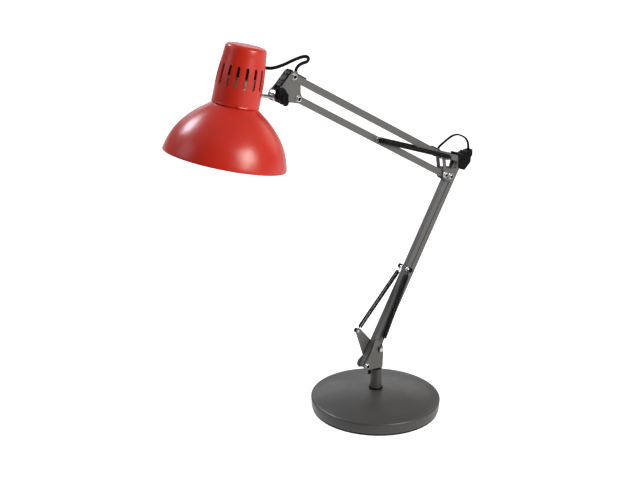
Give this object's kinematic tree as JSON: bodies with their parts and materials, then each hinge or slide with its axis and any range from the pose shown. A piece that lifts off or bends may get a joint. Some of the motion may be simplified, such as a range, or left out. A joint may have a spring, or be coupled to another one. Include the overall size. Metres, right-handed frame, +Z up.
{
  "type": "architect desk lamp",
  "caption": "Balanced-arm desk lamp: round weighted base, post, sprung parallel-bar arms and a tilting dome shade with a slotted cap.",
  "frame": {"origin": "centre of the underside of the round base, on the desk surface", "axes": "+Z up from the desk; the arms swing in the XZ plane and the head reaches toward -X; -Y is the side with the nuts and the tilt knob"},
  "size_m": [0.5116, 0.1916, 0.5829],
  "materials": {
    "base_paint": "satin, fine grain",
    "weight_iron": "raw casting",
    "pad_rubber": "matt",
    "black_plastic": "satin moulded",
    "arm_paint": "fine textured enamel",
    "zinc_steel": "bright zinc plate",
    "bright_chrome": "polished",
    "spring_steel": "blackened steel",
    "shade_paint": "satin enamel, white inside",
    "holder_brass": "dull",
    "bulb_glass": "frosted",
    "cord_rubber": "satin"
  },
  "bodies": {
    "base": {"base_cover": "base_paint", "base_weight": "weight_iron", "base_pad": "pad_rubber", "post_tube": "base_paint", "post_collar": "black_plastic"},
    "clamp_knob": {"post_clamp_knob": "black_plastic"},
    "bracket": {"bracket_near_plate": "arm_paint", "bracket_far_plate": "arm_paint", "bracket_foot": "spring_steel", "bolt_base_front": "zinc_steel", "bolt_base_rear": "zinc_steel", "wing_pin": "zinc_steel", "wing_pin_cap": "black_plastic"},
    "lower_front": {"lower_front_bar": "arm_paint", "lower_peg": "zinc_steel", "lower_peg_cap_near": "black_plastic", "lower_peg_cap_far": "black_plastic", "spring_lower_near": "spring_steel", "spring_lower_far": "spring_steel"},
    "lower_rear": {"lower_rear_bar": "arm_paint"},
    "elbow": {"elbow_near_plate": "arm_paint", "elbow_far_plate": "arm_paint", "bolt_elbow_front": "zinc_steel", "bolt_elbow_lower": "zinc_steel", "rivet_elbow_top": "zinc_steel", "rivet_elbow_rear": "spring_steel", "elbow_spring_pin": "arm_paint", "elbow_cover": "black_plastic"},
    "upper_top": {"upper_top_bar": "arm_paint", "cord_clip_head": "black_plastic", "cord_clip_elbow": "black_plastic", "cord_elbow_loop": "cord_rubber"},
    "upper_lower": {"upper_lower_bar": "arm_paint", "upper_peg": "zinc_steel", "upper_peg_cap_near": "black_plastic", "upper_peg_cap_far": "black_plastic", "spring_upper_near": "spring_steel", "spring_upper_far": "spring_steel"},
    "head": {"head_near_plate": "arm_paint", "head_far_plate": "arm_paint", "head_block": "black_plastic", "head_screw_upper": "zinc_steel", "head_screw_lower": "zinc_steel", "bolt_head_top": "zinc_steel", "bolt_head_lower": "zinc_steel", "tilt_bolt": "zinc_steel"},
    "tilt_knob": {"tilt_wing_knob": "black_plastic"},
    "shade": {"stem": "bright_chrome", "stem_nut": "zinc_steel", "shade_cap": "shade_paint", "shade_dome": "shade_paint", "shade_screw": "shade_paint", "cap_grommet": "black_plastic", "holder_plate": "zinc_steel", "holder_skirt": "holder_brass", "lamp_holder": "black_plastic", "bulb_cap": "holder_brass", "bulb_glass": "bulb_glass", "cord_head_loop": "cord_rubber"}
  },
  "joints": [
    {"name": "base_swivel", "type": "hinge", "parent": "base", "child": "bracket", "pos_m": [0, 0, 0.05], "axis": [0, 0, 1], "continuous": true},
    {"name": "clamp_knob_turn", "type": "hinge", "parent": "base", "child": "clamp_knob", "pos_m": [0, 0, 0.0575], "axis": [-0.766, 0.6428, 0], "continuous": true},
    {"name": "lower_arm", "type": "hinge", "parent": "bracket", "child": "lower_front", "pos_m": [-0.024, 0, 0.076], "axis": [0, -1, 0], "range_deg": [-1, 55], "deforming": ["spring_lower_near", "spring_lower_far"]},
    {"name": "lower_link", "type": "hinge", "parent": "bracket", "child": "lower_rear", "pos_m": [-0.001, 0, 0.0978], "axis": [0, -1, 0], "range_deg": [-1, 55]},
    {"name": "elbow_level", "type": "hinge", "parent": "lower_front", "child": "elbow", "pos_m": [0.1232, 0, 0.341], "axis": [0, -1, 0], "range_deg": [-55, 1]},
    {"name": "upper_arm", "type": "hinge", "parent": "elbow", "child": "upper_top", "pos_m": [0.1053, 0, 0.3757], "axis": [0, -1, 0], "range_deg": [-25, 50], "deforming": ["cord_elbow_loop"]},
    {"name": "upper_link", "type": "hinge", "parent": "elbow", "child": "upper_lower", "pos_m": [0.1127, 0, 0.345], "axis": [0, -1, 0], "range_deg": [-25, 50], "deforming": ["spring_upper_near", "spring_upper_far"]},
    {"name": "head_level", "type": "hinge", "parent": "upper_top", "child": "head", "pos_m": [-0.1604, 0, 0.5287], "axis": [0, -1, 0], "range_deg": [-50, 25]},
    {"name": "head_tilt", "type": "hinge", "parent": "head", "child": "shade", "pos_m": [-0.1835, 0, 0.506], "axis": [0, -1, 0], "range_deg": [-50, 40], "deforming": ["cord_head_loop"]},
    {"name": "tilt_knob_turn", "type": "hinge", "parent": "head", "child": "tilt_knob", "pos_m": [-0.1835, 0, 0.506], "axis": [0, -1, 0], "continuous": true}
  ],
  "couplings": [
    {"joint": "lower_link", "follows": "lower_arm", "ratio": 1},
    {"joint": "elbow_level", "follows": "lower_arm", "ratio": -1},
    {"joint": "upper_link", "follows": "upper_arm", "ratio": 1},
    {"joint": "head_level", "follows": "upper_arm", "ratio": -1}
  ]
}
